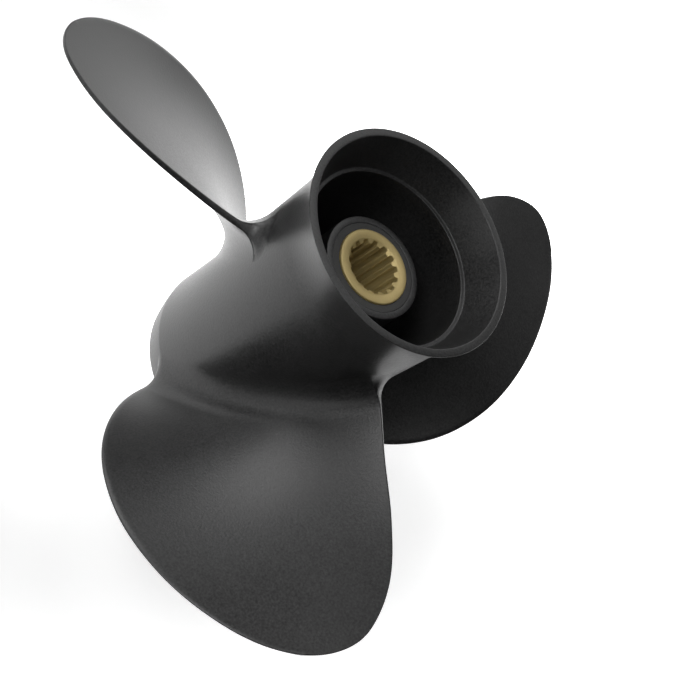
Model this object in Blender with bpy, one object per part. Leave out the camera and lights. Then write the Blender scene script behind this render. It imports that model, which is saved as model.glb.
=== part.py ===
"""Three-blade right-hand boat propeller with exhaust through the hub.

Metres, +Z up. The shaft axis is the Z axis. The hub stands on its front lip at z = 0,
with the flared ring and the shaft nut's side up, as it is set down on a bench.

The real casting is one piece of aluminium. Its forms are objects of their own here:
the outer hub, the flared ring, the blades, the inner hub and the ribs between the hubs.
The rubber bush and the splined brass sleeve are pressed into the inner hub.
"""
from math import acos, asin, atan2, cos, pi, radians, sin, sqrt, tan

import bmesh
import bpy
from mathutils import Matrix, Vector

# Gap left between neighbours, since meshes hold 32-bit numbers
GAP = 0.0003

# Outer hub and flared ring
HUB_LENGTH = 0.162
BARREL_RADIUS = 0.0477
SHOULDER_RADIUS = 0.0495
SHOULDER_HEIGHT = 0.0176
TAPER_END_HEIGHT = 0.096
FRONT_LIP_RADIUS = 0.0464
NOSE_CROWN = 0.3
PASSAGE_RADIUS = 0.0418
PASSAGE_FRONT_RADIUS = 0.0422
RING_START = 0.135
RIM_RADIUS = 0.0536
RIM_INNER_RADIUS = 0.0497
RIM_EDGE = 0.0010
STEP_RADIUS = 0.0438
STEP_DEPTH = 0.0183
STEP_CHAMFER = 0.0004

# Inner hub, rubber bush and splined sleeve
INNER_HUB_RADIUS = 0.0251
INNER_HUB_BORE = 0.0219
INNER_HUB_FRONT = 0.024
SLEEVE_RADIUS = 0.0183
SLEEVE_FRONT = 0.026
AFT_FACE_DEPTH = 0.0297
SLEEVE_PROUD = 0.0010
BUSH_RECESS = 0.0005
SPLINE_TEETH = 15
SPLINE_CREST_RADIUS = 0.0120
SPLINE_ROOT_RADIUS = 0.0135
MOUTH_RADIUS = 0.0141
MOUTH_DEPTH = 0.0015
EDGE_CHAMFER = 0.0006

# Ribs between the two hubs
RIB_COUNT = 3
RIB_THICKNESS = 0.006
RIB_FRONT = 0.030
RIB_AFT = 0.108
RIB_FILLET = 0.003

# Blades: a right-hand screw surface with rake, cut to a round outline
BLADE_COUNT = 3
TIP_RADIUS = 0.1673
TIP_ANGLE = radians(-10.8)
ROOT_RADIUS = 0.0480
ROOT_PITCH = 0.461
TIP_PITCH = 0.419
GENERATOR_HEIGHT = 0.0952
RAKE = radians(8.0)
FIRST_GENERATOR = radians(90)
ROOT_THICKNESS = 0.0055
TIP_THICKNESS = 0.0028
ROOT_TRAILING_THICKNESS = 0.0034
TIP_TRAILING_THICKNESS = 0.0016
LEADING_THICKNESS = 0.0016
AFT_FILLET = 0.014
FRONT_FILLET = 0.010
EDGE_FILLET = 0.0045

# Outline of a blade: radius, then the angles of its leading and trailing edges
OUTLINE = (
    (ROOT_RADIUS, radians(-67.0), radians(14.0)),
    (0.0796, radians(-62.3), radians(9.1)),
    (0.1092, radians(-54.1), radians(6.4)),
    (0.1339, radians(-43.0), radians(3.7)),
    (0.1507, radians(-31.8), radians(0.4)),
    (0.1615, radians(-21.8), radians(-3.3)),
)

# Fineness of the solids
ROUND_STEPS = 72
INNER_STEPS = 48
FLARE_STEPS = 7
TAPER_STEPS = 6
NOSE_STEPS = 4
CHORD_STEPS = 20
SIDE_STEPS = 6
FILLET_STEPS = 4
SPAN_STEPS = 15
RIB_ARC_STEPS = 4
LAST_SPAN = 0.985


def mix(low, high, share):
    return low + (high - low) * share


def clear_scene():
    for thing in list(bpy.context.scene.objects):
        bpy.data.objects.remove(thing, do_unlink=True)


def make_material(name, colour, roughness, metallic):
    material = bpy.data.materials.new(name)
    material.use_nodes = True
    shader = material.node_tree.nodes["Principled BSDF"]
    shader.inputs["Base Color"].default_value = (*colour, 1.0)
    shader.inputs["Roughness"].default_value = roughness
    shader.inputs["Metallic"].default_value = metallic
    material.diffuse_color = (*colour, 1.0)
    return material


def add_object(name, mesh, material, turn=0.0):
    """Links a mesh as a named object, turned about the shaft axis."""
    thing = bpy.data.objects.new(name, mesh)
    thing.data.materials.append(material)
    thing.rotation_euler = (0.0, 0.0, turn)
    bpy.context.scene.collection.objects.link(thing)
    return thing


def finish_mesh(bm, name, sharp=radians(30)):
    bmesh.ops.recalc_face_normals(bm, faces=bm.faces[:])
    mesh = bpy.data.meshes.new(name)
    bm.to_mesh(mesh)
    bm.free()
    mesh.shade_smooth()
    mesh.set_sharp_from_angle(angle=sharp)
    return mesh


def turned_mesh(name, profile, steps):
    """Spins a closed profile of (radius, height) points about the shaft axis."""
    bm = bmesh.new()
    verts = [bm.verts.new((radius, 0.0, height)) for radius, height in profile]
    edges = [bm.edges.new((a, b)) for a, b in zip(verts, verts[1:] + verts[:1])]
    bmesh.ops.spin(
        bm,
        geom=verts + edges,
        cent=(0.0, 0.0, 0.0),
        axis=(0.0, 0.0, 1.0),
        angle=2 * pi,
        steps=steps,
        use_merge=True,
    )
    return finish_mesh(bm, name)


def barrel_radius(height):
    """Outer radius of the hub: a crowned nose cone up to the shoulder, then a taper to the barrel."""
    if height < SHOULDER_HEIGHT:
        drop = (SHOULDER_HEIGHT - height) / SHOULDER_HEIGHT
        share = mix(drop, drop ** 2, NOSE_CROWN)
        return mix(SHOULDER_RADIUS, FRONT_LIP_RADIUS, share)
    rest = max(0.0, (TAPER_END_HEIGHT - height) / (TAPER_END_HEIGHT - SHOULDER_HEIGHT))
    return mix(BARREL_RADIUS, SHOULDER_RADIUS, rest ** 2)


def passage_radius(height):
    """Inner radius of the outer hub, with the draft of the casting."""
    return mix(PASSAGE_FRONT_RADIUS, PASSAGE_RADIUS, height / HUB_LENGTH)


def outer_hub_profile():
    top = RING_START - GAP / 2
    nose = [SHOULDER_HEIGHT * i / NOSE_STEPS for i in range(NOSE_STEPS)]
    reach = TAPER_END_HEIGHT - SHOULDER_HEIGHT
    taper = [SHOULDER_HEIGHT + reach * i / TAPER_STEPS for i in range(TAPER_STEPS + 1)]
    outside = [(barrel_radius(height), height) for height in nose + taper + [top]]
    return outside + [(passage_radius(top), top), (PASSAGE_FRONT_RADIUS, 0.0)]


def flared_ring_profile():
    bottom = RING_START + GAP / 2
    top = HUB_LENGTH
    rise = top - RIM_EDGE - bottom
    spread = RIM_RADIUS - BARREL_RADIUS
    flare_radius = (rise ** 2 + spread ** 2) / (2 * spread)
    outside = []
    for i in range(FLARE_STEPS + 1):
        up = rise * i / FLARE_STEPS
        out = flare_radius - sqrt(flare_radius ** 2 - up ** 2)
        outside.append((BARREL_RADIUS + out, bottom + up))
    step = top - STEP_DEPTH
    return outside + [
        (RIM_RADIUS - RIM_EDGE, top),
        (RIM_INNER_RADIUS, top),
        (STEP_RADIUS, step),
        (PASSAGE_RADIUS + STEP_CHAMFER, step),
        (PASSAGE_RADIUS, step - STEP_CHAMFER),
        (passage_radius(bottom), bottom),
    ]


def tube_profile(outer, inner, front, aft, chamfer):
    """A plain tube whose outer edges are chamfered."""
    return [
        (outer - chamfer, front),
        (outer, front + chamfer),
        (outer, aft - chamfer),
        (outer - chamfer, aft),
        (inner, aft),
        (inner, front),
    ]


def spline_radius(index):
    """Two points of each tooth lie on its crest and two in the gap beside it."""
    return SPLINE_CREST_RADIUS if index % 4 < 2 else SPLINE_ROOT_RADIUS


def sleeve_mesh():
    """Brass tube with an internal spline and a chamfered mouth at both ends."""
    aft = HUB_LENGTH - AFT_FACE_DEPTH + SLEEVE_PROUD
    rings = (
        (SLEEVE_RADIUS, SLEEVE_FRONT + EDGE_CHAMFER),
        (SLEEVE_RADIUS, aft - EDGE_CHAMFER),
        (SLEEVE_RADIUS - EDGE_CHAMFER, aft),
        (MOUTH_RADIUS, aft),
        (None, aft - MOUTH_DEPTH),
        (None, SLEEVE_FRONT + MOUTH_DEPTH),
        (MOUTH_RADIUS, SLEEVE_FRONT),
        (SLEEVE_RADIUS - EDGE_CHAMFER, SLEEVE_FRONT),
    )
    count = 4 * SPLINE_TEETH
    bm = bmesh.new()
    loops = []
    for radius, height in rings:
        verts = []
        for i in range(count):
            angle = 2 * pi * i / count
            reach = spline_radius(i) if radius is None else radius
            verts.append(bm.verts.new((reach * cos(angle), reach * sin(angle), height)))
        loops.append(verts)
    for near, far in zip(loops, loops[1:] + loops[:1]):
        for i in range(count):
            after = (i + 1) % count
            bm.faces.new((near[i], near[after], far[after], far[i]))
    return finish_mesh(bm, "splined_sleeve")


def rib_outline():
    """Outline of a rib seen along the shaft, widening into both hubs."""
    inner = INNER_HUB_RADIUS + GAP
    outer = PASSAGE_RADIUS - GAP
    half = RIB_THICKNESS / 2
    turns = [pi / 2 * i / RIB_ARC_STEPS for i in range(RIB_ARC_STEPS + 1)]
    near = [(inner + RIB_FILLET * (1 - cos(turn)), half + RIB_FILLET * (1 - sin(turn))) for turn in turns]
    far = [(outer - RIB_FILLET * (1 - sin(turn)), half + RIB_FILLET * (1 - cos(turn))) for turn in turns]
    upper = []
    for reach, width in near + far:
        angle = width / reach
        upper.append(Vector((reach * cos(angle), reach * sin(angle), RIB_FRONT)))
    lower = [Vector((point.x, -point.y, point.z)) for point in reversed(upper)]
    middles = [Vector((reach, 0.0, RIB_FRONT)) for reach in (outer, inner)]
    return upper + middles[:1] + lower + middles[1:]


def rib_mesh():
    bm = bmesh.new()
    face = bm.faces.new([bm.verts.new(point) for point in rib_outline()])
    grown = bmesh.ops.extrude_face_region(bm, geom=[face])
    raised = [item for item in grown["geom"] if isinstance(item, bmesh.types.BMVert)]
    bmesh.ops.translate(bm, vec=(0.0, 0.0, RIB_AFT - RIB_FRONT), verts=raised)
    return finish_mesh(bm, "rib")


def span_at(radius):
    """Share of the span, 0 to 1, at a radius. It runs evenly round the rounded tip."""
    return 2 / pi * asin((radius - ROOT_RADIUS) / (TIP_RADIUS - ROOT_RADIUS))


def outline_angles(span):
    """Angles of the leading and trailing edges at a share of the span, 0 to 1.

    The stations are joined by a smooth curve over the span, on which the tip is round.
    """
    stations = [(span_at(radius), leading, trailing) for radius, leading, trailing in OUTLINE]
    stations.append((1.0, TIP_ANGLE, TIP_ANGLE))
    index = max(i for i in range(len(stations) - 1) if stations[i][0] <= span)
    return tuple(smooth_value(stations, index, span, column) for column in (1, 2))


def smooth_value(stations, index, span, column):
    """Cubic through the stations, with slopes taken from their neighbours."""
    def slope(i):
        low = max(i - 1, 0)
        high = min(i + 1, len(stations) - 1)
        return (stations[high][column] - stations[low][column]) / (stations[high][0] - stations[low][0])

    start, end = stations[index], stations[index + 1]
    width = end[0] - start[0]
    t = (span - start[0]) / width
    value = (2 * t ** 3 - 3 * t ** 2 + 1) * start[column] + (3 * t ** 2 - 2 * t ** 3) * end[column]
    return value + width * ((t ** 3 - 2 * t ** 2 + t) * slope(index) + (t ** 3 - t ** 2) * slope(index + 1))


def screw_height(radius, angle):
    """Height of the blade's mean surface, and its rise for each radian of turn."""
    share = (radius - ROOT_RADIUS) / (TIP_RADIUS - ROOT_RADIUS)
    rise = mix(ROOT_PITCH, TIP_PITCH, share) / (2 * pi)
    return GENERATOR_HEIGHT + tan(RAKE) * (radius - ROOT_RADIUS) + rise * angle, rise


def fillet_growth(fillet, height):
    """How far a concave root fillet stands out at a height above the hub."""
    rest = max(0.0, fillet - height)
    return fillet - sqrt(fillet ** 2 - rest ** 2)


def blade_point(chord, side, span):
    """A point of the blade.

    chord runs from the leading edge, 0, to the trailing edge, 1. side is 1 on the aft
    face, which pushes the water, and -1 on the front face. span runs from root to tip.
    """
    leading, trailing = outline_angles(span)
    angle = mix(leading, trailing, chord)
    reach = sin(pi / 2 * span)
    radius = mix(ROOT_RADIUS, TIP_RADIUS, reach)
    thickness = mix(ROOT_THICKNESS, TIP_THICKNESS, reach)
    edge = mix(LEADING_THICKNESS, mix(ROOT_TRAILING_THICKNESS, TIP_TRAILING_THICKNESS, reach), chord)
    height, rise = screw_height(radius, angle)
    for _ in range(3):
        foot = barrel_radius(height) + GAP
        radius = mix(foot, TIP_RADIUS, reach)
        height, rise = screw_height(radius, angle)
    height_above = radius - foot + GAP
    growth = fillet_growth(AFT_FILLET if side > 0 else FRONT_FILLET, height_above)
    crown = max(0.0, thickness - edge) * 4 * chord * (1 - chord)
    depth = (edge / 2 + growth + (crown if side < 0 else 0.0)) * side
    along = 0.0
    if chord in (0.0, 1.0):
        around = pi / 2 * side
        depth = (edge / 2 + growth) * sin(around)
        along_growth = fillet_growth(EDGE_FILLET, height_above)
        along = along_growth * cos(around) if chord else -(along_growth + edge / 2) * cos(around)
    slant = atan2(rise, radius)
    turn = (along * cos(slant) - depth * sin(slant)) / radius
    lift = along * sin(slant) + depth * cos(slant)
    if height_above < AFT_FILLET:
        radius = mix(barrel_radius(height + lift) + GAP, TIP_RADIUS, reach)
    return Vector((radius * cos(angle + turn), radius * sin(angle + turn), height + lift))


def ease_ends(share):
    """Sets the stations closer together towards both edges."""
    return (1 - cos(pi * share)) / 2


def span_stations():
    """Shares of the span at which the blade is cut: round the root fillet, then evenly."""
    start = acos(1 - GAP / AFT_FILLET)
    stations = []
    for i in range(1, FILLET_STEPS + 1):
        height = AFT_FILLET * (1 - cos(mix(start, pi / 2, i / FILLET_STEPS))) - GAP
        stations.append(span_at(ROOT_RADIUS + height))
    top = stations[-1]
    return stations + [mix(top, LAST_SPAN, i / SPAN_STEPS) for i in range(1, SPAN_STEPS)]


def blade_mesh():
    """A box cut at each station of the chord and the span, then bent into the blade."""
    bm = bmesh.new()
    bmesh.ops.create_cube(bm, size=1.0, matrix=Matrix.Translation((0.5, 0.5, 0.5)))
    chords = [ease_ends(i / CHORD_STEPS) for i in range(1, CHORD_STEPS)]
    sides = [i / SIDE_STEPS for i in range(1, SIDE_STEPS)]
    spans = [span / LAST_SPAN for span in span_stations()]
    for normal, cuts in (((1, 0, 0), chords), ((0, 1, 0), sides), ((0, 0, 1), spans)):
        for cut in cuts:
            geometry = bm.verts[:] + bm.edges[:] + bm.faces[:]
            place = [cut * part for part in normal]
            bmesh.ops.bisect_plane(bm, geom=geometry, dist=0.00001, plane_co=place, plane_no=normal)
    for vert in bm.verts:
        chord, side, span = vert.co
        vert.co = blade_point(round(chord, 6), round(2 * side - 1, 6), LAST_SPAN * span)
    return finish_mesh(bm, "blade")


def build():
    clear_scene()
    paint = (0.035, 0.035, 0.036)
    aft = HUB_LENGTH - AFT_FACE_DEPTH

    add_object("outer_hub", turned_mesh("outer_hub", outer_hub_profile(), ROUND_STEPS),
               make_material("hub_paint", paint, 0.45, 0.0))
    add_object("flared_ring", turned_mesh("flared_ring", flared_ring_profile(), ROUND_STEPS),
               make_material("ring_paint", paint, 0.45, 0.0))

    inner_hub = tube_profile(INNER_HUB_RADIUS, INNER_HUB_BORE, INNER_HUB_FRONT, aft, EDGE_CHAMFER)
    add_object("inner_hub", turned_mesh("inner_hub", inner_hub, INNER_STEPS),
               make_material("inner_hub_paint", paint, 0.5, 0.0))

    bush = tube_profile(INNER_HUB_BORE - GAP, SLEEVE_RADIUS + GAP, SLEEVE_FRONT, aft - BUSH_RECESS, EDGE_CHAMFER)
    add_object("rubber_bush", turned_mesh("rubber_bush", bush, INNER_STEPS),
               make_material("bush_rubber", (0.045, 0.045, 0.045), 0.8, 0.0))

    add_object("splined_sleeve", sleeve_mesh(),
               make_material("sleeve_brass", (0.55, 0.42, 0.2), 0.4, 1.0))

    rib = rib_mesh()
    rib_paint = make_material("rib_paint", paint, 0.5, 0.0)
    blade = blade_mesh()
    blade_paint = make_material("blade_paint", paint, 0.45, 0.0)
    for i in range(RIB_COUNT):
        add_object(f"rib_{i + 1}", rib, rib_paint, turn=2 * pi * i / RIB_COUNT)
    for i in range(BLADE_COUNT):
        add_object(f"blade_{i + 1}", blade, blade_paint, turn=FIRST_GENERATOR + 2 * pi * i / BLADE_COUNT)


build()
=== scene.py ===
"""Looks of a three-blade boat propeller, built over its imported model.

Metres, +Z up. The shaft axis is the Z axis, and the hub stands on its front lip at z = 0 with
the flared ring up. The casting's forms are new meshes, finer than the solids and running into
each other through round fillets. The bush and the sleeve in its middle are new meshes too.
"""
from __future__ import annotations

import logging
from dataclasses import dataclass, field
from enum import Enum
from math import asin, atan2, cos, hypot, pi, radians, sin, sqrt, tan
from typing import Any, Callable, Iterable, Sequence, Union

import bmesh
import bpy
from mathutils import Matrix, Vector
from mathutils.geometry import intersect_point_line
from mathutils.kdtree import KDTree


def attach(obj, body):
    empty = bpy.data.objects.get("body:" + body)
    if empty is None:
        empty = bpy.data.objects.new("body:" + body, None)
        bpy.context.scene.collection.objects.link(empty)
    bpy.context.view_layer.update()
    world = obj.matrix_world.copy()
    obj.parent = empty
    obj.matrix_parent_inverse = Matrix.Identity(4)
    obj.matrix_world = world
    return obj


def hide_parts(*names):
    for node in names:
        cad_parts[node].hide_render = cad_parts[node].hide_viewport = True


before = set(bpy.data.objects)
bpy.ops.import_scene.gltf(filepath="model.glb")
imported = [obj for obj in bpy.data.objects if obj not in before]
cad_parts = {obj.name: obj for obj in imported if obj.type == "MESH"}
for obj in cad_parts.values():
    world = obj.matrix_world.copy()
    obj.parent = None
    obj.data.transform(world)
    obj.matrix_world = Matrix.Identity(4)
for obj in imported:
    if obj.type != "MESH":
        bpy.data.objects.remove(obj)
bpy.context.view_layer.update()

log = logging.getLogger("propeller")

Triple = tuple[float, float, float]
Profile = list[tuple[float, float]]
Ring = tuple[float, Callable[[int], float]]
Number = Union["Value", float]

ORIGIN: Triple = (0.0, 0.0, 0.0)
UPWARDS: Triple = (0.0, 0.0, 1.0)
WHITE: Triple = (1.0, 1.0, 1.0)

# Metres within which a vertex lies on an edge, and within which two vertices become one.
TOUCH = 1e-6
MERGE = 1e-7
# Keeps a divisor off zero.
TINY = 1e-9


class Slot(Enum):
    """The record's material slots."""

    PAINT = "casting_paint"
    RUBBER = "bush_rubber"
    BRASS = "sleeve_brass"


def mix(low: float, high: float, share: float) -> float:
    """Goes from low to high as share goes from 0 to 1."""
    return low + (high - low) * share


def limit(value: float) -> float:
    """Keeps a share between 0 and 1."""
    return max(0.0, min(1.0, value))


def ease(share: float) -> float:
    """Sets evenly spaced shares closer together towards both ends."""
    return (1 - cos(pi * share)) / 2


def shares(steps: int) -> list[float]:
    """Lists evenly spaced shares from 0 to 1."""
    return [i / steps for i in range(steps + 1)]


def around(reach: float, angle: float, height: float = 0.0) -> Vector:
    """Gives the point at a distance from the shaft axis, an angle round it and a height."""
    return Vector((reach * cos(angle), reach * sin(angle), height))


# Shader maths


@dataclass(frozen=True)
class Value:
    """A number, colour or vector that changes over the surface, as a node's output socket."""

    graph: "Graph"
    socket: bpy.types.NodeSocket

    def _math(self, operation: str, first: Number, second: Number) -> Value:
        """Adds one Math node with an operation and two values, and gives its output."""
        return self.graph.node("ShaderNodeMath", {"operation": operation}, {0: first, 1: second})

    def __add__(self, other: Number) -> Value:
        """Adds a number or another value."""
        return self._math("ADD", self, other)

    def __sub__(self, other: Number) -> Value:
        """Takes a number or another value away."""
        return self._math("SUBTRACT", self, other)

    def __rsub__(self, other: Number) -> Value:
        """Takes this value away from a number."""
        return self._math("SUBTRACT", other, self)

    def __mul__(self, other: Number) -> Value:
        """Multiplies by a number or another value."""
        return self._math("MULTIPLY", self, other)

    def __truediv__(self, other: Number) -> Value:
        """Divides by a number or another value."""
        return self._math("DIVIDE", self, other)

    def __pow__(self, other: Number) -> Value:
        """Raises to a power."""
        return self._math("POWER", self, other)

    def __gt__(self, other: Number) -> Value:
        """Is 1 where this value is the greater one, and 0 elsewhere."""
        return self._math("GREATER_THAN", self, other)

    __radd__ = __add__
    __rmul__ = __mul__


class Graph:
    """The nodes of one material."""

    def __init__(self, name: str, colour: Triple) -> None:
        """Makes the material with its shader.

        Args:
            name: the material's name.
            colour: the colour that viewports show.
        """
        self.material = bpy.data.materials.new(name)
        self.material.use_nodes = True
        self.material.diffuse_color = (*colour, 1.0)
        self.shader = self.material.node_tree.nodes["Principled BSDF"]
        self.place = self.node("ShaderNodeTexCoord", output="Object")

    def node(
        self,
        kind: str,
        settings: dict[str, Any] | None = None,
        sockets: dict[str | int, Any] | None = None,
        output: str | int = 0,
    ) -> Value:
        """Adds a node, sets it up and joins it to others.

        Args:
            kind: the node's type.
            settings: its settings, set before the sockets.
            sockets: a number, a colour or a Value for each input socket that is used.
            output: the output socket that is wanted.

        Returns:
            The wanted output.
        """
        made = self.material.node_tree.nodes.new(kind)
        for name, setting in (settings or {}).items():
            setattr(made, name, setting)
        for key, value in (sockets or {}).items():
            self._feed(made.inputs[key], value)
        return Value(self, made.outputs[output])

    def _feed(self, socket: bpy.types.NodeSocket, value: Any) -> None:
        """Gives a socket what it needs.

        Args:
            socket: the input socket.
            value: a Value to link to it, or the socket's own number, colour or vector.
        """
        if isinstance(value, Value):
            self.material.node_tree.links.new(value.socket, socket)
        else:
            socket.default_value = value

    def noise(self, scale: float, detail: float = 2.0, roughness: float = 0.5) -> Value:
        """Adds soft noise, from about 0 to 1.

        Args:
            scale: how many grains there are in a metre.
            detail: how many finer layers there are.
            roughness: how strong the finer layers are.

        Returns:
            The noise.
        """
        return self.node(
            "ShaderNodeTexNoise",
            sockets={"Vector": self.place, "Scale": scale, "Detail": detail, "Roughness": roughness},
            output="Fac",
        )

    def blend(self, share: Number, low: Triple, high: Triple) -> Value:
        """Mixes two colours, with a share of 0 for the first and 1 for the second."""
        colours = {0: share, 6: (*low, 1.0), 7: (*high, 1.0)}
        return self.node("ShaderNodeMix", {"data_type": "RGBA"}, colours, output=2)

    def distance(self, point: Sequence[float]) -> Value:
        """Gives the distance in metres from a point of the object's own space."""
        ends = {0: self.place, 1: point}
        return self.node("ShaderNodeVectorMath", {"operation": "DISTANCE"}, ends, output="Value")

    def spot(self, point: Sequence[float], radius: float) -> Value:
        """Makes a soft round spot.

        Args:
            point: its middle.
            radius: how far it reaches.

        Returns:
            1 in the middle, falling smoothly to 0 at the radius.
        """
        share = (self.distance(point) / radius) ** 2
        clamped = {"operation": "SUBTRACT", "use_clamp": True}
        rest = self.node("ShaderNodeMath", clamped, {0: 1.0, 1: share})
        return rest * rest

    def bump(self, height: Value, distance: float) -> Value:
        """Bends the normal by a height from 0 to 1, where 1 stands up by a distance in metres."""
        sockets = {"Height": height, "Distance": distance, "Strength": 1.0}
        return self.node("ShaderNodeBump", sockets=sockets)

    def finish(self, **values: Any) -> bpy.types.Material:
        """Feeds the shader's sockets.

        Args:
            **values: a number, colour or Value for each socket, with _ for a space in its name.

        Returns:
            The material.
        """
        for name, value in values.items():
            self._feed(self.shader.inputs[name.replace("_", " ")], value)
        return self.material


def vary(*parts: tuple[Value, float], middle: float = 0.5) -> Value:
    """Varies a number with noises, evenly to both sides.

    Args:
        *parts: the noises, each with how far it moves the number from end to end.
        middle: the number where every noise is at its mean, which is a half.

    Returns:
        The varied number.
    """
    lowest = middle - sum(width for _, width in parts) / 2
    varied = sum(noise * width for noise, width in parts)
    return varied + lowest


# Finishes


@dataclass(frozen=True)
class SatinPaint:
    """Black satin enamel on cast aluminium, with the grain that the spray leaves."""

    low: Triple = (0.001, 0.001, 0.0012)
    high: Triple = (0.030, 0.030, 0.030)
    roughness: float = 0.36
    cloud_scale: float = 28.0
    cloud_tone: float = 0.6
    cloud_sheen: float = 0.06
    grain_scale: float = 1000.0
    grain_tone: float = 1.2
    grain_sheen: float = 0.2
    grain_height: float = 0.00006
    peel_scale: float = 240.0
    peel_height: float = 0.00001

    def material(self, name: str) -> bpy.types.Material:
        """Makes the paint.

        Args:
            name: the material's name.

        Returns:
            The material.
        """
        graph = Graph(name, self.high)
        cloud = graph.noise(self.cloud_scale, detail=4.0)
        grain = graph.noise(self.grain_scale, detail=1.0)
        peel = graph.noise(self.peel_scale)
        tone = vary((cloud, self.cloud_tone), (grain, self.grain_tone))
        sheen = vary((cloud, self.cloud_sheen), (grain, self.grain_sheen), middle=self.roughness)
        surface = grain * (self.grain_height / self.peel_height) + peel
        return graph.finish(
            Base_Color=graph.blend(tone, self.low, self.high),
            Roughness=sheen,
            Normal=graph.bump(surface, self.peel_height),
        )


@dataclass(frozen=True)
class BushRubber:
    """Matt black rubber, a little mottled, with the small pits of its mould."""

    low: Triple = (0.022, 0.022, 0.022)
    high: Triple = (0.036, 0.036, 0.035)
    roughness: float = 0.7
    mottle_scale: float = 160.0
    mottle_sheen: float = 0.12
    pit_scale: float = 1100.0
    pit_height: float = 0.00003

    def material(self, name: str) -> bpy.types.Material:
        """Makes the rubber.

        Args:
            name: the material's name.

        Returns:
            The material.
        """
        graph = Graph(name, self.high)
        mottle = graph.noise(self.mottle_scale, detail=5.0, roughness=0.6)
        pits = graph.noise(self.pit_scale)
        return graph.finish(
            Base_Color=graph.blend(mottle, self.low, self.high),
            Roughness=vary((mottle, self.mottle_sheen), middle=self.roughness),
            Normal=graph.bump(pits, self.pit_height),
        )


@dataclass(frozen=True)
class TurnedBrass:
    """Dull brass with the fine rings that the lathe leaves on its faces."""

    low: Triple = (0.34, 0.265, 0.11)
    high: Triple = (0.46, 0.36, 0.16)
    metallic: float = 0.5
    roughness: float = 0.45
    tarnish_scale: float = 140.0
    tarnish_sheen: float = 0.16
    ring_width: float = 0.0005
    ring_height: float = 0.000006

    def material(self, name: str) -> bpy.types.Material:
        """Makes the brass.

        Args:
            name: the material's name.

        Returns:
            The material.
        """
        graph = Graph(name, self.high)
        across = {0: graph.place, 1: (1.0, 1.0, 0.0)}
        flat = graph.node("ShaderNodeVectorMath", {"operation": "MULTIPLY"}, across)
        reach = graph.node("ShaderNodeVectorMath", {"operation": "LENGTH"}, {0: flat}, output="Value")
        turn = reach * (2 * pi / self.ring_width)
        rings = graph.node("ShaderNodeMath", {"operation": "SINE"}, {0: turn}) * 0.5 + 0.5
        tarnish = graph.noise(self.tarnish_scale, detail=5.0, roughness=0.6)
        return graph.finish(
            Base_Color=graph.blend(tarnish, self.low, self.high),
            Metallic=self.metallic,
            Roughness=vary((tarnish, self.tarnish_sheen), middle=self.roughness),
            Normal=graph.bump(rings, self.ring_height),
        )


# Meshes and pieces


@dataclass(frozen=True)
class Rounding:
    """An edge that runs round the shaft, and how wide its rounding is."""

    radius: float
    height: float
    width: float

    def holds(self, vert: bmesh.types.BMVert) -> bool:
        """Tells whether a vertex lies on the edge."""
        away = abs(hypot(vert.co.x, vert.co.y) - self.radius)
        return away < TOUCH and abs(vert.co.z - self.height) < TOUCH


def round_edges(
    bm: bmesh.types.BMesh, edges: list[bmesh.types.BMEdge], width: float, clamp: bool = False
) -> None:
    """Rounds edges off.

    Args:
        bm: the mesh.
        edges: its edges to round.
        width: how far the rounding reaches from each edge.
        clamp: whether roundings that would cross are kept narrower.
    """
    bmesh.ops.bevel(
        bm,
        geom=edges,
        offset=width,
        offset_type="OFFSET",
        segments=4,
        profile=0.5,
        affect="EDGES",
        material=-1,
        clamp_overlap=clamp,
    )


def turned(profile: Profile, steps: int, roundings: Iterable[Rounding]) -> bmesh.types.BMesh:
    """Spins a closed profile about the shaft axis and rounds its edges.

    Args:
        profile: the corners as (radius, height), in order.
        steps: how many steps the turn has.
        roundings: the edges to round.

    Returns:
        The closed mesh.
    """
    bm = bmesh.new()
    verts = [bm.verts.new((radius, 0.0, height)) for radius, height in profile]
    edges = [bm.edges.new(pair) for pair in zip(verts, verts[1:] + verts[:1])]
    bmesh.ops.spin(
        bm, geom=verts + edges, cent=ORIGIN, axis=UPWARDS, angle=2 * pi, steps=steps, use_merge=True
    )
    for rounding in roundings:
        ring = [edge for edge in bm.edges if all(rounding.holds(vert) for vert in edge.verts)]
        round_edges(bm, ring, rounding.width)
    return bm


def bent_grid(columns: int, rows: int, place: Callable[[int, int], Vector]) -> bmesh.types.BMesh:
    """Bends a grid into a closed shape, and merges its vertices where they meet.

    Args:
        columns: how many faces wide the grid is.
        rows: how many faces high it is.
        place: gives the point for the number of a column and of a row.

    Returns:
        The mesh.
    """
    bm = bmesh.new()
    corner = Matrix.Translation((0.5, 0.5, 0.0))
    bmesh.ops.create_grid(bm, x_segments=columns, y_segments=rows, size=0.5, matrix=corner)
    for vert in bm.verts:
        vert.co = place(round(vert.co.x * columns), round(vert.co.y * rows))
    bmesh.ops.remove_doubles(bm, verts=bm.verts[:], dist=MERGE)
    return bm


def new_object(name: str, bm: bmesh.types.BMesh, material: bpy.types.Material) -> bpy.types.Object:
    """Turns a mesh into an object of the scene.

    Args:
        name: the object's name.
        bm: its mesh, which is used up.
        material: its finish.

    Returns:
        The object.
    """
    mesh = bpy.data.meshes.new(name)
    bm.to_mesh(mesh)
    bm.free()
    mesh.materials.append(material)
    made = bpy.data.objects.new(name, mesh)
    bpy.context.scene.collection.objects.link(made)
    return made


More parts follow.
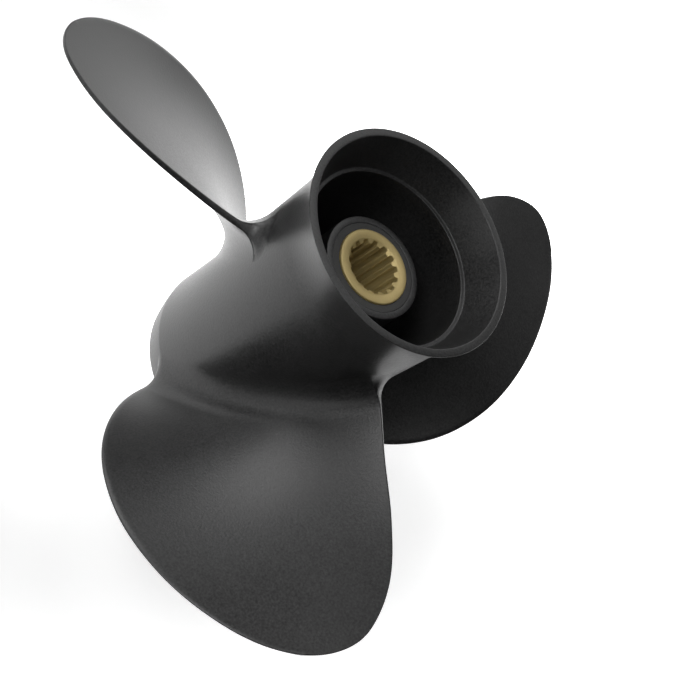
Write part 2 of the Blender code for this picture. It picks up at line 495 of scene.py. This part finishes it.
def add_piece(
    name: str,
    bm: bmesh.types.BMesh,
    material: bpy.types.Material,
    slot: Slot,
    nodes: Sequence[str],
    sharp: float = radians(40),
) -> bpy.types.Object:
    """Turns a mesh into a named piece that rides on the root body.

    Args:
        name: the piece's name.
        bm: its mesh, which is used up.
        material: its finish.
        slot: the record's slot for that finish. It is not used.
        nodes: the solids that it stands for.
        sharp: the angle above which an edge stays sharp.

    Returns:
        The piece.
    """
    bmesh.ops.recalc_face_normals(bm, faces=bm.faces[:])
    piece = new_object(name, bm, material)
    piece.data.shade_smooth()
    piece.data.set_sharp_from_angle(angle=sharp)
    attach(piece, "root")
    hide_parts(*nodes)
    log.info("%s: %d faces, stands for %s", name, len(piece.data.polygons), ", ".join(nodes))
    return piece


# The casting


@dataclass
class Barrel:
    """The outer hub and its flared ring, which are one wall of the casting."""

    length: float = 0.162
    barrel_radius: float = 0.0477
    shoulder_radius: float = 0.0495
    shoulder_height: float = 0.0176
    taper_end: float = 0.096
    lip_radius: float = 0.0464
    nose_crown: float = 0.3
    passage_radius: float = 0.0418
    passage_front_radius: float = 0.0422
    ring_start: float = 0.135
    rim_radius: float = 0.0536
    rim_inner_radius: float = 0.0497
    step_radius: float = 0.0438
    step_depth: float = 0.0183
    lip_rounding: float = 0.0008
    passage_rounding: float = 0.0006
    shoulder_rounding: float = 0.0006
    rim_rounding: float = 0.0005
    rim_inner_rounding: float = 0.0004
    step_rounding: float = 0.0005
    steps: int = 256
    nose_rows: int = 12
    taper_rows: int = 18
    flare_rows: int = 20

    def outer_radius(self, height: float) -> float:
        """Gives the hub's outer radius, without the flare.

        Args:
            height: the height above the front lip.

        Returns:
            The radius: a crowned nose cone up to the shoulder, then a taper to the barrel.
        """
        if height < self.shoulder_height:
            drop = (self.shoulder_height - height) / self.shoulder_height
            share = mix(drop, drop ** 2, self.nose_crown)
            return mix(self.shoulder_radius, self.lip_radius, share)
        rest = max(0.0, (self.taper_end - height) / (self.taper_end - self.shoulder_height))
        return mix(self.barrel_radius, self.shoulder_radius, rest ** 2)

    def outside(self) -> Profile:
        """Lists the outer side of the wall.

        Returns:
            Its corners, from the front lip to the rim.
        """
        nose = [self.shoulder_height * share for share in shares(self.nose_rows)[:-1]]
        taper = [mix(self.shoulder_height, self.taper_end, share) for share in shares(self.taper_rows)]
        points = [(self.outer_radius(height), height) for height in nose + taper]
        rise = self.length - self.ring_start
        spread = self.rim_radius - self.barrel_radius
        flare_radius = (rise ** 2 + spread ** 2) / (2 * spread)
        for share in shares(self.flare_rows):
            out = flare_radius - sqrt(flare_radius ** 2 - (rise * share) ** 2)
            points.append((self.barrel_radius + out, self.ring_start + rise * share))
        return points

    def build(self, paint: bpy.types.Material) -> bpy.types.Object:
        """Builds the wall.

        Args:
            paint: its finish.

        Returns:
            The piece.
        """
        step = self.length - self.step_depth
        inside = [
            (self.rim_inner_radius, self.length),
            (self.step_radius, step),
            (self.passage_radius, step),
            (self.passage_front_radius, 0.0),
        ]
        roundings = (
            Rounding(self.lip_radius, 0.0, self.lip_rounding),
            Rounding(self.passage_front_radius, 0.0, self.passage_rounding),
            Rounding(self.shoulder_radius, self.shoulder_height, self.shoulder_rounding),
            Rounding(self.rim_radius, self.length, self.rim_rounding),
            Rounding(self.rim_inner_radius, self.length, self.rim_inner_rounding),
            Rounding(self.step_radius, step, self.step_rounding),
            Rounding(self.passage_radius, step, self.step_rounding),
        )
        bm = turned(self.outside() + inside, self.steps, roundings)
        return add_piece("hub_wall", bm, paint, Slot.PAINT, ("outer_hub", "flared_ring"))


@dataclass(frozen=True)
class Spot:
    """A place round a blade's section.

    chord runs from 0 at the leading edge to 1 at the trailing edge. side is 1 on the aft face,
    which pushes the water, and -1 on the front face. sweep is set on the root fillet of the
    blunt trailing face, and is its angle there, from the front face round to the trailing way.
    """

    chord: float
    side: int
    sweep: float | None = None


@dataclass
class BladeSet:
    """Three blades: a right-hand screw surface with rake, cut to a round outline.

    The outline's rows hold a radius and the angles of the leading and the trailing edge there,
    in degrees from the blade's generator line.
    """

    barrel: Barrel
    count: int = 3
    first_generator: float = radians(90)
    tip_radius: float = 0.1673
    tip_angle: float = radians(-10.8)
    root_radius: float = 0.0480
    root_pitch: float = 0.461
    tip_pitch: float = 0.419
    generator_height: float = 0.0952
    rake: float = radians(8.0)
    root_thickness: float = 0.0055
    tip_thickness: float = 0.0028
    root_trailing_thickness: float = 0.0034
    tip_trailing_thickness: float = 0.0016
    leading_thickness: float = 0.0016
    leading_overhang: float = 0.0008
    aft_fillet: float = 0.014
    front_fillet: float = 0.010
    leading_fillet: float = 0.0035
    trailing_fillet: float = 0.008
    leading_rounding: float = 0.0030
    trailing_rounding: float = 0.0005
    trailing_corner: float = 0.35
    tip_blend: float = 0.82
    sink: float = 0.000008
    keel_depth: float = 0.0015
    settle_rounds: int = 4
    chord_steps: int = 84
    span_rows: int = 76
    fillet_rows: int = 16
    sweep_steps: int = 5
    edge_points: int = 700
    outline: tuple[Triple, ...] = (
        (0.0480, -67.0, 14.0),
        (0.0796, -62.3, 9.1),
        (0.1092, -54.1, 6.4),
        (0.1339, -43.0, 3.7),
        (0.1507, -31.8, 0.4),
        (0.1615, -21.8, -3.3),
    )
    blade_length: float = field(init=False)
    fillet_height: float = field(init=False)
    stations: list[Triple] = field(init=False)
    edges: tuple["EdgeLine", "EdgeLine"] = field(init=False)

    def __post_init__(self) -> None:
        """Works out the blade's reach, the outline's stations and its two edge lines."""
        self.blade_length = self.tip_radius - self.root_radius
        self.fillet_height = max(self.aft_fillet, self.front_fillet)
        self.stations = [
            (self.span_at(radius - self.root_radius), radians(leading), radians(trailing))
            for radius, leading, trailing in self.outline
        ]
        self.stations.append((1.0, self.tip_angle, self.tip_angle))
        spans = shares(self.edge_points)
        self.edges = (
            EdgeLine([self.mean_point(0.0, span) for span in spans]),
            EdgeLine([self.mean_point(1.0, span) for span in spans]),
        )

    def span_at(self, clearance: float) -> float:
        """Gives the share of the span at a height above the root. It runs evenly round the tip."""
        return 2 / pi * asin(limit(clearance / self.blade_length))

    def outline_angles(self, span: float) -> tuple[float, float]:
        """Gives the angles of the leading and the trailing edge at a share of the span."""
        index = max(i for i in range(len(self.stations) - 1) if self.stations[i][0] <= span)
        return self.smooth_value(index, span, 1), self.smooth_value(index, span, 2)

    def smooth_value(self, index: int, span: float, column: int) -> float:
        """Follows a cubic through the stations, with slopes taken from their neighbours.

        Args:
            index: the station before the span.
            span: the share of the span.
            column: 1 for the leading edge and 2 for the trailing edge.

        Returns:
            The angle.
        """
        stations = self.stations

        def slope(i: int) -> float:
            """Gives the slope at a station."""
            low, high = stations[max(i - 1, 0)], stations[min(i + 1, len(stations) - 1)]
            return (high[column] - low[column]) / (high[0] - low[0])

        start, end = stations[index], stations[index + 1]
        width = end[0] - start[0]
        t = (span - start[0]) / width
        value = (2 * t ** 3 - 3 * t ** 2 + 1) * start[column] + (3 * t ** 2 - 2 * t ** 3) * end[column]
        lean = (t ** 3 - 2 * t ** 2 + t) * slope(index) + (t ** 3 - t ** 2) * slope(index + 1)
        return value + width * lean

    def screw_height(self, radius: float, angle: float) -> tuple[float, float]:
        """Gives the blade's mean surface.

        Args:
            radius: the distance from the shaft axis.
            angle: the angle from the blade's generator line.

        Returns:
            The height there, and its rise for each radian of turn.
        """
        away = radius - self.root_radius
        rise = mix(self.root_pitch, self.tip_pitch, away / self.blade_length) / (2 * pi)
        raked = self.generator_height + tan(self.rake) * away
        return raked + rise * angle, rise

    def mean_place(self, chord: float, clearance: float) -> tuple[float, float, float, float, float]:
        """Finds a place on the mean surface at a height above the hub.

        Args:
            chord: the share of the chord, from 0 at the leading edge to 1 at the trailing edge.
            clearance: the height above the hub.

        Returns:
            The angle, the radius, the height, its rise for each radian and the hub's radius below.
        """
        reach = clearance / self.blade_length
        leading, trailing = self.outline_angles(self.span_at(clearance))
        radius = mix(self.root_radius, self.tip_radius, reach)
        foot = self.root_radius
        angle = height = rise = 0.0
        for _ in range(self.settle_rounds):
            rise = self.screw_height(radius, 0.0)[1]
            start = leading - self.leading_overhang * cos(pi / 2 * reach) / hypot(radius, rise)
            angle = mix(start, trailing, chord)
            height, rise = self.screw_height(radius, angle)
            foot = self.barrel.outer_radius(height)
            radius = mix(foot, self.tip_radius, reach)
        return angle, radius, height, rise, foot

    def mean_point(self, chord: float, span: float) -> Vector:
        """Gives a point of the mean surface at shares of the chord and the span."""
        angle, radius, height, _, _ = self.mean_place(chord, sin(pi / 2 * span) * self.blade_length)
        return around(radius, angle, height)

    def clearances(self) -> list[float]:
        """Lists the rows' heights above the hub: the root fillet, then evenly round to the tip.

        Returns:
            The heights. The first one lies inside the hub's wall, and closes the foot there.
        """
        turns = [pi / 2 * share for share in shares(self.fillet_rows)]
        low = [self.fillet_height * (1 - cos(turn)) - self.sink for turn in turns]
        start = self.span_at(low[-1])
        spans = [mix(start, 1.0, share) for share in shares(self.span_rows)[1:]]
        return [-self.keel_depth, *low, *(self.blade_length * sin(pi / 2 * span) for span in spans)]

    def growth(self, fillet: float, clearance: float) -> float:
        """Gives how far a concave fillet of a radius stands out at a height above the hub."""
        rest = min(fillet, max(0.0, fillet - clearance - self.sink))
        return fillet - sqrt(fillet ** 2 - rest ** 2)

    def half_thickness(self, spot: Spot, clearance: float, point: Vector) -> tuple[float, float, int]:
        """Works out how far a face stands from the mean surface.

        Args:
            spot: the place round the section.
            clearance: the height above the hub.
            point: the place on the mean surface.

        Returns:
            The distance, its slope away from the nearest edge, and 1 if that is the trailing
            edge or -1 if it is the leading edge.
        """
        reach = limit(clearance / self.blade_length)
        trailing = mix(self.root_trailing_thickness, self.tip_trailing_thickness, reach)
        edge = mix(self.leading_thickness, trailing, spot.chord)
        to_tip = limit((self.span_at(clearance) - self.tip_blend) / (1 - self.tip_blend)) ** 2
        corner = mix(self.trailing_corner, 1.0, to_tip)
        widths = (self.leading_rounding, mix(self.trailing_rounding, self.leading_rounding, to_tip))
        found = []
        for line, width, share, way in zip(self.edges, widths, (1.0, corner), (-1, 1)):
            gone = 1 - limit(line.distance(point) / width)
            curve = sqrt(max(0.0, 1 - gone ** 2))
            slope = share * edge / 2 * gone / (width * max(curve, TINY))
            found.append((1 - share + share * curve, slope, way))
        share, slope, way = min(found)
        thickness = mix(self.root_thickness, self.tip_thickness, reach)
        crown = max(0.0, thickness - edge) * 4 * spot.chord * (1 - spot.chord)
        return edge / 2 * share + (crown if spot.side < 0 else 0.0), slope, way

    def face_point(self, spot: Spot, clearance: float) -> Vector:
        """Gives a point of a blade's surface.

        Args:
            spot: the place round the section.
            clearance: the height above the hub.

        Returns:
            The point.
        """
        angle, radius, height, rise, foot = self.mean_place(spot.chord, clearance)
        centre = around(radius, angle, height)
        if clearance == -self.keel_depth:
            return centre
        half, slope, way = self.half_thickness(spot, clearance, centre)
        fillets = (self.aft_fillet, self.front_fillet, self.leading_fillet, self.trailing_fillet)
        aft, front, leading, trailing = (self.growth(fillet, clearance) for fillet in fillets)
        face = aft if spot.side > 0 else front
        if spot.sweep is not None:
            along, out = trailing * cos(spot.sweep), -half - front * sin(spot.sweep)
        elif spot.side < 0 and way > 0:
            along, out = 0.0, -half - face
        elif spot.chord in (0.0, 1.0):
            along, out = (trailing if spot.chord else -leading), half * spot.side
        else:
            steep = hypot(1.0, slope)
            along = (trailing if way > 0 else -leading) * slope / steep
            out = (half + face / steep) * spot.side
        slant = atan2(rise, radius)
        turn = (along * cos(slant) - out * sin(slant)) / radius
        lift = along * sin(slant) + out * cos(slant)
        near = 1 - limit(clearance / self.fillet_height) ** 2
        radius += (self.barrel.outer_radius(height + lift) - foot) * near
        return around(radius, angle + turn, height + lift)

    def mesh(self) -> bmesh.types.BMesh:
        """Bends a grid round the section and along the span into one closed blade.

        Returns:
            The mesh, on the first blade's generator line at angle 0.
        """
        chords = [ease(share) for share in shares(self.chord_steps)]
        loop = [Spot(chord, 1) for chord in reversed(chords)]
        loop += [Spot(chord, -1) for chord in chords]
        loop += [Spot(1.0, -1, pi / 2 * share) for share in reversed(shares(self.sweep_steps))]
        loop.append(loop[0])
        rows = self.clearances()

        def place(column: int, row: int) -> Vector:
            """Gives the point of a place round the section, in one row."""
            return self.face_point(loop[column], rows[row])

        bm = bent_grid(len(loop) - 1, len(rows) - 1, place)
        bmesh.ops.dissolve_degenerate(bm, edges=bm.edges[:], dist=MERGE)
        return bm

    def build(self, paint: bpy.types.Material) -> list[bpy.types.Object]:
        """Builds the blades.

        Args:
            paint: their finish.

        Returns:
            The pieces.
        """
        blade = self.mesh()
        pieces = []
        for i in range(self.count):
            turned_blade = blade.copy()
            turn = Matrix.Rotation(self.first_generator + 2 * pi * i / self.count, 4, "Z")
            bmesh.ops.transform(turned_blade, matrix=turn, verts=turned_blade.verts[:])
            name = f"blade_{i + 1}"
            pieces.append(add_piece(f"cast_{name}", turned_blade, paint, Slot.PAINT, (name,)))
        blade.free()
        return pieces


class EdgeLine:
    """One edge of a blade's outline, as a fine line that distances are taken from."""

    def __init__(self, points: list[Vector]) -> None:
        """Keeps the line.

        Args:
            points: its points, in order.
        """
        self.points = points
        self.tree = KDTree(len(points))
        for index, point in enumerate(points):
            self.tree.insert(point, index)
        self.tree.balance()

    def distance(self, point: Vector) -> float:
        """Measures the distance to the line.

        Args:
            point: the point to measure from.

        Returns:
            The distance.
        """
        _, index, nearest = self.tree.find(point)
        for other in (index - 1, index + 1):
            if not 0 <= other < len(self.points):
                continue
            foot, share = intersect_point_line(point, self.points[index], self.points[other])
            if 0.0 <= share <= 1.0:
                nearest = min(nearest, (foot - point).length)
        return nearest


@dataclass
class InnerHub:
    """The tube in the middle of the casting and the ribs that hold it in the barrel."""

    barrel: Barrel
    outer_radius: float = 0.0251
    bore: float = 0.0219
    front: float = 0.024
    aft: float = 0.1323
    edge_rounding: float = 0.0004
    bore_rounding: float = 0.0002
    rib_count: int = 3
    rib_thickness: float = 0.006
    rib_front: float = 0.030
    rib_aft: float = 0.108
    rib_fillet: float = 0.003
    rib_edge: float = 0.0012
    sink: float = 0.000008
    root_depth: float = 0.0006
    steps: int = 192
    arc_steps: int = 8

    def tube(self, paint: bpy.types.Material) -> bpy.types.Object:
        """Builds the tube.

        Args:
            paint: its finish.

        Returns:
            The piece.
        """
        corners = [
            (self.outer_radius, self.front),
            (self.outer_radius, self.aft),
            (self.bore, self.aft),
            (self.bore, self.front),
        ]
        widths = (self.edge_rounding, self.edge_rounding, self.bore_rounding, self.bore_rounding)
        roundings = [Rounding(*corner, width) for corner, width in zip(corners, widths)]
        bm = turned(corners, self.steps, roundings)
        return add_piece("inner_hub_tube", bm, paint, Slot.PAINT, ("inner_hub",))

    def rib_outline(self) -> list[Vector]:
        """Gives the outline of a rib seen along the shaft, widening into both walls.

        Returns:
            Its corners, in order.
        """
        inner = self.outer_radius - self.sink
        outer = self.barrel.passage_radius + self.sink
        half, fillet = self.rib_thickness / 2, self.rib_fillet
        turns = [pi / 2 * share for share in shares(self.arc_steps)]
        near = [(inner + fillet * (1 - cos(t)), half + fillet * (1 - sin(t))) for t in turns]
        far = [(outer - fillet * (1 - sin(t)), half + fillet * (1 - cos(t))) for t in turns]
        ends = ((inner - self.root_depth, half), (outer + self.root_depth, half))
        corners = [ends[0], *near, *far, ends[1]]
        upper = [around(reach, width / reach, self.rib_front) for reach, width in corners]
        return upper + [Vector((point.x, -point.y, point.z)) for point in reversed(upper)]

    def rib(self, index: int, paint: bpy.types.Material) -> bpy.types.Object:
        """Builds one rib.

        Args:
            index: its number, from 0.
            paint: its finish.

        Returns:
            The piece.
        """
        bm = bmesh.new()
        face = bm.faces.new([bm.verts.new(point) for point in self.rib_outline()])
        grown = bmesh.ops.extrude_face_region(bm, geom=[face])
        raised = [item for item in grown["geom"] if isinstance(item, bmesh.types.BMVert)]
        bmesh.ops.translate(bm, vec=(0.0, 0.0, self.rib_aft - self.rib_front), verts=raised)
        rims = [edge for edge in bm.edges if abs(edge.verts[0].co.z - edge.verts[1].co.z) < TOUCH]
        round_edges(bm, rims, self.rib_edge, clamp=True)
        turn = Matrix.Rotation(2 * pi * index / self.rib_count, 4, "Z")
        bmesh.ops.transform(bm, matrix=turn, verts=bm.verts[:])
        name = f"rib_{index + 1}"
        return add_piece(f"cast_{name}", bm, paint, Slot.PAINT, (name,))

    def build(self, paint: bpy.types.Material) -> list[bpy.types.Object]:
        """Builds the tube and its ribs."""
        return [self.tube(paint), *(self.rib(i, paint) for i in range(self.rib_count))]


# The parts pressed into the inner hub


@dataclass
class Bush:
    """The rubber bush that takes up shocks between the inner hub and the sleeve."""

    inner_hub: InnerHub
    sleeve_radius: float = 0.0183
    front: float = 0.026
    recess: float = 0.0001
    rounding: float = 0.0003
    steps: int = 160

    def build(self, rubber: bpy.types.Material) -> bpy.types.Object:
        """Builds the bush.

        Args:
            rubber: its finish.

        Returns:
            The piece.
        """
        outer, inner = self.inner_hub.bore, self.sleeve_radius
        aft = self.inner_hub.aft - self.recess
        corners = [(outer, self.front), (outer, aft), (inner, aft), (inner, self.front)]
        bm = turned(corners, self.steps, [Rounding(*corner, self.rounding) for corner in corners])
        return add_piece("shock_bush", bm, rubber, Slot.RUBBER, ("rubber_bush",))


@dataclass
class Sleeve:
    """The brass sleeve with the splines that the shaft turns it by.

    crest_share and flank are shares of the way from one tooth to the next: how much a tooth
    takes up, measured half way up its flanks, and how much each flank does.
    """

    radius: float = 0.0183
    front: float = 0.026
    aft: float = 0.1333
    edge: float = 0.0006
    teeth: int = 15
    crest_radius: float = 0.0120
    gap_radius: float = 0.0135
    mouth_radius: float = 0.0141
    mouth_depth: float = 0.0015
    crest_share: float = 0.5
    flank: float = 0.16
    points_per_tooth: int = 20
    mouth_rows: int = 6
    edge_steps: int = 4
    sharp: float = radians(50)

    def spline_radius(self, index: int) -> float:
        """Gives the bore's radius, low on a crest and high in a gap.

        Args:
            index: the number of the point round the bore.

        Returns:
            The radius.
        """
        half = self.crest_share / 2
        away = abs((index / self.points_per_tooth) % 1.0 - half)
        away = min(away, 1.0 - away)
        share = limit((away - (half - self.flank / 2)) / self.flank)
        return mix(self.crest_radius, self.gap_radius, ease(share))

    def outer_ring(self, end: float, way: float, turn: float) -> Ring:
        """Gives a ring of an end's rounded outer edge. way, 1 or -1, leads into the sleeve."""
        reach = self.radius - self.edge * (1 - cos(turn))
        return end + way * self.edge * (1 - sin(turn)), lambda index: reach

    def mouth_ring(self, end: float, way: float, share: float) -> Ring:
        """Gives a ring of an end's coned mouth, at a share of its depth, that cuts the splines."""
        cone = mix(self.mouth_radius, self.crest_radius, share)
        return end + way * self.mouth_depth * share, lambda index: max(cone, self.spline_radius(index))

    def rings(self) -> list[Ring]:
        """Lists the rings of the sleeve from the middle of its outside round to its bore and back.

        Returns:
            The height of each ring, and a function that gives its radius at a point.
        """
        turns = [pi / 2 * share for share in shares(self.edge_steps)]
        depths = shares(self.mouth_rows)
        found = [self.outer_ring(self.aft, -1.0, turn) for turn in turns]
        found += [self.mouth_ring(self.aft, -1.0, depth) for depth in depths]
        found += [self.mouth_ring(self.front, 1.0, depth) for depth in reversed(depths)]
        found += [self.outer_ring(self.front, 1.0, turn) for turn in reversed(turns)]
        return [*found, found[0]]

    def build(self, brass: bpy.types.Material) -> bpy.types.Object:
        """Builds the sleeve.

        Args:
            brass: its finish.

        Returns:
            The piece.
        """
        count = self.teeth * self.points_per_tooth
        rings = self.rings()

        def place(column: int, row: int) -> Vector:
            """Gives the point of a ring in one column. The last column closes onto the first."""
            height, reach_at = rings[row]
            return around(reach_at(column % count), 2 * pi * (column % count) / count, height)

        bm = bent_grid(count, len(rings) - 1, place)
        return add_piece("brass_sleeve", bm, brass, Slot.BRASS, ("splined_sleeve",), self.sharp)


# The studio


@dataclass(frozen=True)
class Softbox:
    """A square soft light that looks at the propeller.

    azimuth and elevation are in degrees, seen from the propeller, and glow is its brightness.
    """

    azimuth: float
    elevation: float
    glow: float


@dataclass(frozen=True)
class Snoot:
    """A small round light with a narrow cone, in degrees, that looks down the sleeve's bore."""

    azimuth: float = 262.0
    elevation: float = 64.0
    energy: float = 20.0
    cone: float = 2.4
    blend: float = 0.6
    size: float = 0.03
    aim: Triple = (0.0, 0.0, 0.125)


@dataclass(frozen=True)
class PaintedLightSpot:
    """A soft round spot of painted light on the floor: the floor glows there, brighter or dimmer, in
    place of the light and shade that falls on it.

    azimuth, in degrees, and reach give its middle, seen from the shaft axis.
    """

    azimuth: float
    reach: float
    radius: float
    glow: float


@dataclass
class Studio:
    """A pale floor, soft light from all round and the camera at the photograph's angle."""

    camera_place: Triple = (0.03812, -0.34557, 0.47803)
    camera_aim: Triple = (0.02691, 0.00142, 0.0900)
    camera_roll: float = radians(59.746)
    lens: float = 56.0
    sensor: float = 36.0
    clip_start: float = 0.01
    floor_size: float = 6.0
    floor_grey: float = 0.9
    floor_mottle: float = 0.985
    floor_cloud_scale: float = 2.0
    floor_roughness: float = 0.6
    foot_radius: float = 0.044
    backdrop_radius: float = 6.0
    backdrop_start: float = 0.5
    backdrop_fade: float = 0.25
    backdrop_lift: float = 0.0001
    world_grey: float = 0.0
    light_distance: float = 1.5
    softbox_aim: Triple = (0.0, 0.0, 0.08)
    softbox_size: float = 0.7
    softboxes: tuple[Softbox, ...] = (
        Softbox(60.0, 8.0, 1.7),
        Softbox(90.0, 8.0, 0.6),
        Softbox(120.0, 8.0, 1.4),
        Softbox(180.0, 8.0, 1.1),
        Softbox(240.0, 8.0, 1.3),
        Softbox(270.0, 8.0, 1.3),
        Softbox(90.0, 28.0, 0.7),
        Softbox(150.0, 28.0, 1.0),
        Softbox(180.0, 28.0, 4.0),
        Softbox(210.0, 28.0, 0.8),
        Softbox(40.0, 48.0, 0.4),
        Softbox(120.0, 48.0, 1.4),
        Softbox(200.0, 48.0, 0.7),
        Softbox(240.0, 48.0, 5.1),
        Softbox(120.0, 68.0, 1.5),
        Softbox(300.0, 68.0, 1.9),
    )
    snoot: Snoot = Snoot()
    # Spots of painted light and shade that the floor glows with, each at its own brightness.
    painted_light_spots: tuple[PaintedLightSpot, ...] = (
        PaintedLightSpot(0.0, 0.0, 0.16, 0.9),
        PaintedLightSpot(120.0, 0.11, 0.13, 2.0),
        PaintedLightSpot(180.0, 0.11, 0.13, 0.6),
        PaintedLightSpot(240.0, 0.11, 0.13, 0.4),
        PaintedLightSpot(0.0, 0.22, 0.2, 0.4),
        PaintedLightSpot(90.0, 0.22, 0.2, 1.0),
        PaintedLightSpot(225.0, 0.22, 0.2, 0.4),
        PaintedLightSpot(315.0, 0.22, 0.2, 0.6),
        PaintedLightSpot(0.0, 0.5, 0.5, 0.8),
        PaintedLightSpot(90.0, 0.5, 0.5, 2.8),
        PaintedLightSpot(180.0, 0.5, 0.5, 0.3),
    )

    def add_camera(self) -> None:
        """Adds the camera and makes it the scene's own."""
        data = bpy.data.cameras.new("camera")
        data.lens, data.sensor_width = self.lens, self.sensor
        data.clip_start = self.clip_start
        camera = bpy.data.objects.new("camera", data)
        place = Vector(self.camera_place)
        aimed = (Vector(self.camera_aim) - place).to_track_quat("-Z", "Y").to_matrix().to_4x4()
        roll = Matrix.Rotation(self.camera_roll, 4, "Z")
        camera.matrix_world = Matrix.Translation(place) @ aimed @ roll
        bpy.context.scene.collection.objects.link(camera)
        bpy.context.scene.camera = camera

    def add_floor(self) -> None:
        """Adds the floor that the hub stands on, with painted light and shade on it as soft spots of
        glow. There is no glow inside the hub.
        """
        pale = (self.floor_grey,) * 3
        mottled = (self.floor_grey * self.floor_mottle,) * 3
        graph = Graph("pale_floor", pale)
        cloud = graph.noise(self.floor_cloud_scale)
        # Painted light and shade: the floor's glow, summed from its soft spots.
        glow = sum(
            graph.spot(around(spot.reach, radians(spot.azimuth)), spot.radius) * spot.glow
            for spot in self.painted_light_spots
        )
        # The painted light stops at the hub's foot, so the floor inside the hub stays dark.
        outside = graph.distance(ORIGIN) > self.foot_radius
        material = graph.finish(
            Base_Color=graph.blend(cloud, mottled, pale),
            Roughness=self.floor_roughness,
            Emission_Color=glow * outside,
            Emission_Strength=1.0,
        )
        bm = bmesh.new()
        bmesh.ops.create_grid(bm, x_segments=1, y_segments=1, size=self.floor_size / 2)
        new_object("floor", bm, material)

    def add_backdrop(self) -> None:
        """Adds a white bowl, upside down, that hides the floor's far part and the dark behind it.

        Only the camera sees it, so it lights nothing.
        """
        graph = Graph("white_backdrop", WHITE)
        material = graph.finish(
            Base_Color=(0.0, 0.0, 0.0, 1.0),
            Roughness=1.0,
            Specular_IOR_Level=0.0,
            Emission_Color=(*WHITE, 1.0),
            Emission_Strength=1.0,
            Alpha=(graph.distance(ORIGIN) - self.backdrop_start) / self.backdrop_fade,
        )
        bm = bmesh.new()
        bmesh.ops.create_uvsphere(bm, u_segments=48, v_segments=24, radius=self.backdrop_radius)
        cut = bmesh.ops.bisect_plane(
            bm,
            geom=bm.verts[:] + bm.edges[:] + bm.faces[:],
            plane_co=(0.0, 0.0, self.backdrop_lift),
            plane_no=UPWARDS,
            clear_inner=True,
        )
        rim = [item for item in cut["geom_cut"] if isinstance(item, bmesh.types.BMEdge)]
        bmesh.ops.edgeloop_fill(bm, edges=rim)
        backdrop = new_object("backdrop", bm, material)
        backdrop.visible_diffuse = backdrop.visible_glossy = backdrop.visible_shadow = False

    def place_light(
        self, data: bpy.types.Light, azimuth: float, elevation: float, aim: Sequence[float]
    ) -> None:
        """Hangs a light over the floor and turns it.

        Args:
            data: the light.
            azimuth: the angle round the shaft axis that it comes from, in degrees.
            elevation: its angle above the floor, in degrees.
            aim: the point that it looks at.
        """
        rise = radians(elevation)
        way = around(cos(rise), radians(azimuth), sin(rise))
        light = bpy.data.objects.new(data.name, data)
        light.location = Vector(aim) + way * self.light_distance
        light.rotation_euler = (-way).to_track_quat("-Z", "Y").to_euler()
        light.visible_camera = False
        bpy.context.scene.collection.objects.link(light)

    def add_softbox(self, softbox: Softbox) -> None:
        """Adds one soft light, turned towards the middle of the propeller.

        Args:
            softbox: where it hangs and how bright it is.
        """
        name = f"softbox_{softbox.azimuth:.0f}_{softbox.elevation:.0f}"
        data = bpy.data.lights.new(name, "AREA")
        data.size = self.softbox_size
        data.energy = pi * self.softbox_size ** 2 * softbox.glow
        self.place_light(data, softbox.azimuth, softbox.elevation, self.softbox_aim)

    def add_snoot(self) -> None:
        """Adds the narrow light, turned towards the sleeve."""
        data = bpy.data.lights.new("snoot", "SPOT")
        data.energy, data.shadow_soft_size = self.snoot.energy, self.snoot.size
        data.spot_size, data.spot_blend = radians(self.snoot.cone), self.snoot.blend
        self.place_light(data, self.snoot.azimuth, self.snoot.elevation, self.snoot.aim)

    def build(self) -> None:
        """Sets up the floor, the lights and the camera."""
        world = bpy.data.worlds.new("studio")
        world.use_nodes = True
        background = world.node_tree.nodes["Background"]
        background.inputs["Color"].default_value = (self.world_grey,) * 3 + (1.0,)
        bpy.context.scene.world = world
        bpy.context.scene.view_settings.view_transform = "Standard"
        self.add_floor()
        self.add_backdrop()
        self.add_camera()
        for softbox in self.softboxes:
            self.add_softbox(softbox)
        self.add_snoot()


def main() -> None:
    """Builds the propeller's pieces in order, then the studio round it."""
    logging.basicConfig(level=logging.INFO, format="%(name)s: %(message)s")
    paint = SatinPaint().material("satin_black_paint")
    barrel = Barrel()
    barrel.build(paint)
    BladeSet(barrel).build(paint)
    inner_hub = InnerHub(barrel)
    inner_hub.build(paint)
    Bush(inner_hub).build(BushRubber().material("bush_rubber"))
    Sleeve().build(TurnedBrass().material("turned_brass"))
    Studio().build()


if __name__ == "__main__":
    main()
